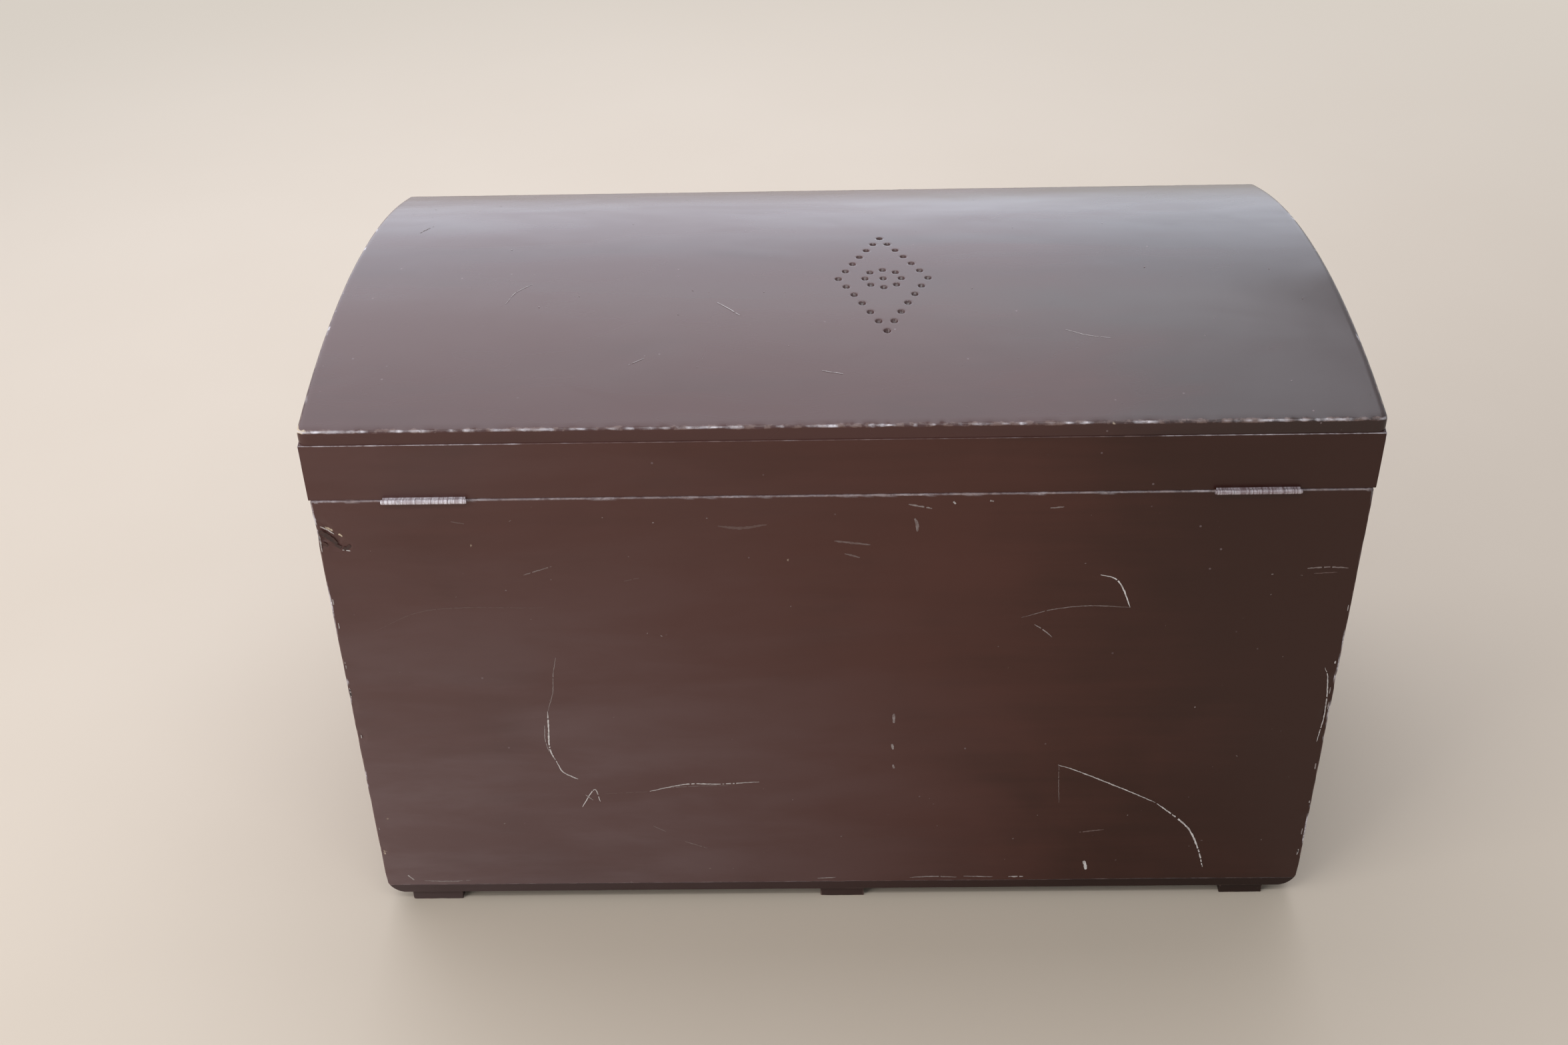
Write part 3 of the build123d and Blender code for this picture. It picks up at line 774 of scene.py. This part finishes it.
def dome_loop(x, drop, alongs, reach, holes):
    """One section of the top, how many of its points are above, and the height of its lower edge."""
    corner_cut = max(0.0, 1 - (sheet_half_width - abs(x)) / corner_reach)
    edge = sheet_half_depth - drop * 0.9 - corner_ease * corner_cut**2
    back_edge, back_reach = worn_edge(x, drop, edge, 1)
    front_edge, front_reach = worn_edge(x, drop, edge, -1)
    low_z = math.sqrt(inner_radius**2 - edge**2)
    loop = [(edge, low_z, 0.2, 0.0, 0.0), (edge, low_z + 0.12 * MM, 0.1, 0.0, 0.0),
            (edge, low_z + 1.2 * MM, 0.0, 0.0, 0.0), (edge, back_edge[0][1] - 1.2 * MM, 0.3, 0.0, 0.0)]
    loop.extend(back_edge)
    ease_reach = 14 * MM
    for along in reversed(alongs):
        if abs(along) >= reach - 1e-9:
            continue
        side_reach = back_reach if along > 0 else front_reach
        beyond = max(0.0, abs(along) - (reach - ease_reach))
        turn = (along + math.copysign(beyond * (side_reach - reach) / ease_reach, along)) / dome_radius
        depth, shift_x, shift_along = press_hole(x, along, holes)
        wave = 0.18 * MM * (noise.noise(Vector((x * 9, along * 16, 1.7))) - 1)
        near_edge = min(1.0, (reach - abs(along)) / (12 * MM))
        outer = dome_radius - drop + wave * near_edge - depth
        turn += shift_along / dome_radius
        loop.append((outer * math.sin(turn), outer * math.cos(turn), 0.0, shift_x, 0.0))
    loop.extend(reversed(front_edge))
    loop.append((-edge, front_edge[0][1] - 1.2 * MM, 0.3, 0.0, 0.0))
    loop.append((-edge, low_z + 1.2 * MM, 0.0, 0.0, 0.0))
    loop.append((-edge, low_z + 0.12 * MM, 0.1, 0.0, 0.0))
    upper_count = len(loop)
    under_steps = 30
    for step in range(under_steps):
        y = -edge + 2 * edge * step / under_steps
        loop.append((y, math.sqrt(inner_radius**2 - y**2), 0.0, 0.0, 0.0))
    return loop, upper_count, low_z


def dome_top():
    """Bent top as one closed skin: worn arrises, slight waves, and the pattern of pressed-in holes."""
    holes = motif_holes()
    margin = 6 * MM
    hole_alongs = [along for _, along in holes]
    stations = dome_stations([x for x, _ in holes], margin)
    reach = math.asin((sheet_half_depth - edge_round) / (dome_radius - edge_round)) * dome_radius
    alongs = graded(-reach, reach, min(hole_alongs) - margin, max(hole_alongs) + margin, 6 * MM, 0.6 * MM)
    points = []
    worn = []
    highlights_and_rubs = []
    for x, drop in stations:
        loop, upper_count, low_z = dome_loop(x, drop, alongs, reach, holes)
        for y, z, wear, shift_x, highlight_and_rub_share in loop:
            points.append(Vector((x + shift_x, mid_y + y, dome_centre_z + z)))
            on_end = drop > 0 and wear == 0.0 and z > low_z + 8 * MM
            worn.append(1.0 if on_end else wear)
            # On the round ends, painted highlights with some pale rub, in dashes
            highlights_and_rubs.append(0.95 * dashes(y, math.copysign(3.0, x), 0.3) if on_end else highlight_and_rub_share)
    chipped = []
    for point, wear in zip(points, worn):
        corner = point.x > sheet_half_width - 9 * MM and point.y > back_y - 9 * MM
        patchy = noise.noise(Vector((point.x * 12, point.y * 12, 2.0)))
        chipped.append((0.66 if corner else 0.26 + 0.2 * patchy) if wear > 0.4 else 0.0)
    loop_size = len(loop)
    faces = []
    for base in range(0, (len(stations) - 1) * loop_size, loop_size):
        ahead = base + loop_size
        for index in range(loop_size):
            following = (index + 1) % loop_size
            faces.append((base + index, base + following, ahead + following, ahead + index))
    upper = list(range(upper_count)) + [upper_count]
    lower = [0] + list(range(loop_size - 1, upper_count - 1, -1))
    for start in (0, (len(stations) - 1) * loop_size):
        above = [start + index for index in upper]
        below = [start + index for index in lower]
        faces.extend(end_cap(points, above, below))
    face_slots = []
    for face in faces:
        centre = sum((points[index] for index in face), Vector()) / len(face)
        from_axis = math.hypot(centre.y - mid_y, centre.z - dome_centre_z)
        under = from_axis < inner_radius + 0.2 * MM and len(face) == 4
        within = abs(centre.y - mid_y) < rail_inner_face and abs(centre.x) < inner_half_width + 1 * MM
        face_slots.append(1 if under and within else 0)
    return add_piece("dome_top", points, faces, [top_paint, wood_x], "lid",
                     {"wear": worn, "chip": chipped, "highlight_and_rub": highlights_and_rubs}, face_slots, ["top_sheet"])


dome_top()


# Scratches and scuffs, drawn on the back as (x, z) in millimetres

def smooth_line(knots, spacing):
    """Points along a smooth curve through the knots."""
    knots = [Vector(knot) for knot in knots]
    ends = [knots[0] * 2 - knots[1]] + knots + [knots[-1] * 2 - knots[-2]]
    line = []
    for index in range(1, len(ends) - 2):
        before, start, end, after = ends[index - 1:index + 3]
        steps = max(2, int((end - start).length / spacing))
        bend = 2 * before - 5 * start + 4 * end - after
        twist = 3 * start - before - 3 * end + after
        for step in range(steps):
            t = step / steps
            line.append(0.5 * (2 * start + (end - before) * t + bend * t**2 + twist * t**3))
    line.append(knots[-1])
    return line


def scratches(name, strokes, body, surface, material=scratch):
    """Thin dry lines that lie on a surface. Each stroke has its knots, width and strength."""
    source = random.Random(7)
    points = []
    faces = []
    strengths = []
    for knots, width, strength in strokes:
        line = smooth_line([(x * MM, y * MM) for x, y in knots], 1.5 * MM)
        count = len(line)
        previous = None
        for index in range(count):
            ahead = line[min(index + 1, count - 1)] - line[max(index - 1, 0)]
            sideways = Vector((-ahead.y, ahead.x)).normalized()
            taper = math.sin(math.pi * (index + 0.6) / (count + 0.2)) ** 0.4
            uneven = 0.55 + 0.45 * source.random()
            half = width * MM * 0.62 * taper * uneven
            centre = line[index] + sideways * source.uniform(-0.15, 0.15) * MM
            start = len(points)
            for offset in (-half, half):
                spot = centre + sideways * offset
                points.append(surface(spot.x, spot.y))
                strengths.append(strength * source.uniform(0.75, 1.0))
            if previous is not None and source.random() > 0.06:
                faces.append((previous, previous + 1, start + 1, start))
            previous = start
    return add_piece(name, points, faces, [material], body, {"strength": strengths}, closed=False)


proud = 0.08 * MM


def on_back(x, z):
    return Vector((x, back_y + proud, z))


def on_dome(x, along):
    turn = along / dome_radius
    out = dome_radius + proud
    return Vector((x, mid_y + out * math.sin(turn), dome_centre_z + out * math.cos(turn)))


back_strokes = [
    ([(231, 278), (235, 258), (237, 240), (243, 220)], 0.7, 0.28),
    ([(243, 220), (244, 202), (245, 179), (240, 163)], 1.3, 0.95),
    ([(240, 163), (236, 153), (224, 145)], 1.2, 0.85),
    ([(247, 205), (248, 190), (246, 176)], 0.6, 0.5),
    ([(223, 113), (211, 133), (207, 119)], 1.0, 0.95),
    ([(219, 127), (213, 121)], 0.8, 0.6),
    ([(203, 128), (184, 129), (165, 130)], 0.8, 0.10),
    ([(165, 130), (132, 138), (102, 138), (69, 140)], 1.2, 0.75),
    ([(150, 134), (120, 136), (96, 136)], 0.6, 0.22),
    ([(163, 90), (152, 83)], 0.8, 0.20),
    ([(136, 71), (117, 63)], 0.9, 0.22),
    ([(249, 359), (226, 367)], 1.0, 0.20),
    ([(376, 305), (326, 326), (236, 327)], 0.6, 0.08),
    ([(-205, 353), (-217, 349), (-224, 339), (-231, 321)], 1.1, 1.0),
    ([(-231, 321), (-200, 323), (-171, 320), (-145, 312)], 0.7, 0.26),
    ([(-156, 305), (-164, 299), (-171, 292)], 0.9, 0.35),
    ([(-185, 156), (-202, 149), (-241, 129), (-272, 112)], 1.1, 0.85),
    ([(-272, 112), (-292, 94), (-305, 79), (-315, 56), (-321, 35)], 1.5, 1.0),
    ([(-186, 156), (-187, 135), (-189, 113)], 0.6, 0.22),
    ([(-209, 78), (-230, 81)], 1.4, 0.10),
    ([(-215, 45), (-217, 39), (-218, 33)], 2.6, 1.0),
    ([(-366, 357), (-382, 358), (-398, 357)], 1.2, 0.25),
    ([(-372, 352), (-390, 353)], 0.7, 0.10),
    ([(-395, 258), (-399, 246), (-402, 211), (-400, 179)], 1.0, 0.8),
    ([(-53, 421), (-62, 419), (-71, 417)], 1.4, 0.32),
    ([(-58, 408), (-60, 402), (-60, 396)], 2.4, 0.22),
    ([(4, 388), (-10, 386), (-24, 384)], 2.0, 0.12),
    ([(-4, 376), (-16, 372)], 1.6, 0.12),
    ([(94, 403), (76, 401), (56, 404)], 2.6, 0.06),
    ([(-45, 214), (-45, 204)], 2.2, 0.30),
    ([(-44, 181), (-45, 175)], 2.0, 0.35),
    ([(-45, 158), (-46, 154)], 2.0, 0.32),
    ([(-87, 423), (-89, 421)], 1.6, 0.6),
    ([(-112, 424), (-118, 423)], 1.6, 0.4),
    ([(-160, 416), (-172, 417)], 1.2, 0.25),
    ([(170, 352), (158, 355)], 0.9, 0.08),
    ([(300, 410), (290, 408)], 0.8, 0.12),
    # The next three strokes, at the knocked upper corner, are painted highlights on its edges
    ([(402, 407), (397, 404), (392, 400)], 1.0, 0.8),
    ([(388, 385), (382, 384)], 0.9, 0.8),
    ([(404, 398), (404, 390)], 1.0, 0.7),
    # The strokes from here on, along the bottom edge and at its corner, are painted highlights
    ([(-62, 25), (-82, 26), (-104, 25)], 1.2, 0.30),
    ([(-110, 26), (-136, 25)], 1.1, 0.35),
    ([(-150, 25), (-163, 25)], 1.4, 0.55),
    ([(372, 26), (350, 25), (330, 26)], 1.0, 0.35),
    ([(20, 25), (4, 26)], 1.0, 0.35),
    ([(386, 33), (381, 27)], 1.4, 0.5),
]
dome_strokes = [
    ([(97, 73), (88, 82), (77, 94)], 0.7, 0.85),
    ([(365, -73), (360, -84), (356, -92)], 0.8, 0.3),
    ([(-180, 120), (-196, 128), (-214, 132)], 0.5, 0.7),
    ([(250, 40), (262, 54), (268, 72)], 0.5, 0.6),
    ([(12, 168), (-4, 172)], 0.6, 0.75),
    ([(150, 150), (162, 158)], 0.5, 0.6),
]
# Painted shade in the knocks at the back's upper corner, drawn as dark lines
back_knock_shades = [
    ([(405, 403), (398, 398), (391, 391)], 4.6, 0.9),
    ([(393, 390), (386, 386), (381, 389)], 3.0, 0.8),
    ([(403, 392), (399, 389)], 2.6, 0.7),
]
specks = random.Random(21)
fleck_strokes = []
for _ in range(52):
    x, z = specks.uniform(-390, 390), specks.uniform(30, 425)
    end_x, end_z = x + specks.uniform(-1.6, 1.6), z + specks.uniform(-1.2, 1.2)
    width, strength = specks.uniform(0.5, 1.0), specks.uniform(0.08, 0.4)
    fleck_strokes.append(([(x, z), (end_x, end_z)], width, strength))
for side in (-1, 1):
    for _ in range(9):
        x, z = side * specks.uniform(402.4, 404.6), specks.uniform(40, 426)
        end_z = z - specks.uniform(2, 9)
        fleck_strokes.append(([(x, z), (x, end_z)], specks.uniform(0.7, 1.3), specks.uniform(0.3, 0.8)))
scratches("back_flecks", fleck_strokes, "chest", on_back)
dome_flecks = []
for _ in range(34):
    x, along = specks.uniform(-385, 385), specks.choice((-1, 1)) * specks.uniform(22, 202)
    end_x, end_along = x + specks.uniform(-1.8, 1.8), along + specks.uniform(-1.8, 1.8)
    width, strength = specks.uniform(0.5, 1.0), specks.uniform(0.2, 0.55)
    dome_flecks.append(([(x, along), (end_x, end_along)], width, strength))
scratches("dome_flecks", dome_flecks, "lid", on_dome)
scratches("back_knock_shades", back_knock_shades, "chest", on_back, knock_shade)
scratches("back_scratches", back_strokes, "chest", on_back)
scratches("dome_scratches", dome_strokes, "lid", on_dome)


# Carried-over nodes

def dress(node, material):
    """Give a CAD node another material."""
    mesh = nodes[node].data
    if not mesh.materials:
        mesh.materials.append(material)
    for index in range(len(mesh.materials)):
        mesh.materials[index] = material


for side in ("left", "right"):
    for piece in ("body_leaf", "lid_leaf", "pin"):
        dress(f"hinge_{side}_{piece}", worn_and_lit_hinge_paint)
    for face in ("front", "back"):
        dress(f"corner_cleat_{face}_{side}", wood_z)
for node in ("hinge_body_screws", "hinge_lid_screws", "stay_body_stud", "stay_lid_stud", "stay_bar"):
    dress(node, steel)
dress("lid_rib", wood_y)


# Floor, light and camera

def stage_floor():
    """Plain pale floor, wide enough for every view; away from the chest it is seen at an even tone."""
    material, tree = new_material("pale_floor")
    coordinates = put(tree, "ShaderNodeTexCoord").outputs["Object"]
    cloud = grain(tree, coordinates, (1.0, 1.0, 1.0), 2.0, 3.0, 0.5)
    base = mix(tree, cloud, colour(197, 185, 169), colour(204, 193, 178))
    shader = put(tree, "ShaderNodeBsdfPrincipled", {"Base Color": base, "Roughness": 0.7})
    plain = put(tree, "ShaderNodeEmission", {"Color": colour(216, 208, 198), "Strength": 1.0})
    path = put(tree, "ShaderNodeLightPath").outputs
    seen = maths(tree, "MAXIMUM", path["Is Camera Ray"],
                 maths(tree, "MAXIMUM", path["Is Glossy Ray"], path["Is Transmission Ray"]))
    distance = put(tree, "ShaderNodeVectorMath", {0: coordinates}, operation="LENGTH").outputs["Value"]
    far = between(tree, distance, 1.0, 3.2)
    inputs = {0: maths(tree, "MULTIPLY", far, seen), 1: shader.outputs[0], 2: plain.outputs[0]}
    surface = put(tree, "ShaderNodeMixShader", inputs)
    put(tree, "ShaderNodeOutputMaterial", {"Surface": surface.outputs[0]})
    mesh = bpy.data.meshes.new("floor")
    size = 60.0
    corners = [(-size, -size, 0), (size, -size, 0), (size, size, 0), (-size, size, 0)]
    mesh.from_pydata(corners, [], [(0, 1, 2, 3)])
    mesh.materials.append(material)
    floor = bpy.data.objects.new("floor", mesh)
    bpy.context.scene.collection.objects.link(floor)


def room_light():
    """Even pale surroundings; what camera and gloss see is brighter than what lights the scene."""
    world = bpy.data.worlds.new("room")
    bpy.context.scene.world = world
    world.use_nodes = True
    tree = world.node_tree
    tree.nodes.clear()
    path = put(tree, "ShaderNodeLightPath").outputs
    seen = maths(tree, "MAXIMUM", path["Is Camera Ray"],
                 maths(tree, "MAXIMUM", path["Is Glossy Ray"], path["Is Transmission Ray"]))
    lighting = put(tree, "ShaderNodeBackground", {"Color": (1.0, 0.99, 0.98, 1.0), "Strength": 0.36})
    looks = put(tree, "ShaderNodeBackground", {"Color": (0.90, 0.95, 1.0, 1.0), "Strength": 1.0})
    shader = put(tree, "ShaderNodeMixShader", {0: seen, 1: lighting.outputs[0], 2: looks.outputs[0]})
    put(tree, "ShaderNodeOutputWorld", {"Surface": shader.outputs[0]})


def soft_lamp(name, place, aim, width, height, power, tint):
    """Large soft rectangular lamp."""
    data = bpy.data.lights.new(name, "AREA")
    data.shape = "RECTANGLE"
    data.size = width
    data.size_y = height
    data.energy = power
    data.color = tint
    lamp = bpy.data.objects.new(name, data)
    lamp.location = place
    lamp.rotation_euler = (Vector(aim) - Vector(place)).to_track_quat("-Z", "Y").to_euler()
    lamp.visible_camera = False
    bpy.context.scene.collection.objects.link(lamp)


def photo_camera():
    """Camera behind the chest, looking down at it, as in the photograph."""
    beside, behind, height = 0.021, 1.103, 1.132
    place = Vector((beside, back_y + behind, height))
    pitch = math.radians(33.36)
    yaw = math.radians(1.13)
    roll = math.radians(1.3)
    forward = Vector((math.sin(yaw) * math.cos(pitch), -math.cos(yaw) * math.cos(pitch), -math.sin(pitch)))
    level = forward.cross(Vector((0, 0, 1))).normalized()
    upright = level.cross(forward)
    right = level * math.cos(roll) + upright * math.sin(-roll)
    up = right.cross(forward)
    data = bpy.data.cameras.new("photo_camera")
    data.sensor_width = 36.0
    data.lens = 39.34
    data.clip_end = 60.0
    camera = bpy.data.objects.new("photo_camera", data)
    camera.matrix_world = Matrix((
        (right.x, up.x, -forward.x, place.x),
        (right.y, up.y, -forward.y, place.y),
        (right.z, up.z, -forward.z, place.z),
        (0, 0, 0, 1),
    ))
    bpy.context.scene.collection.objects.link(camera)
    bpy.context.scene.camera = camera


stage_floor()
room_light()
soft_lamp("ceiling_soft", (0.9, -2.05, 3.0), (0.9, -2.05, 0.0), 4.8, 3.9, 104, (0.97, 0.97, 1.06))
soft_lamp("window_soft", (0.9, -4.2, 1.75), (0.4, 0.0, 1.2), 6.4, 2.7, 58, (0.90, 0.95, 1.12))
soft_lamp("side_soft", (2.2, 1.7, 1.5), (0.1, 0.2, 0.3), 1.8, 1.8, 40, (1.0, 0.98, 0.97))
soft_lamp("strip_soft", (0.0, 1.7, 2.8), (0.0, 0.2, 0.4), 3.2, 0.35, 24, (0.96, 0.97, 1.0))
photo_camera()
bpy.context.scene.view_settings.view_transform = "Standard"
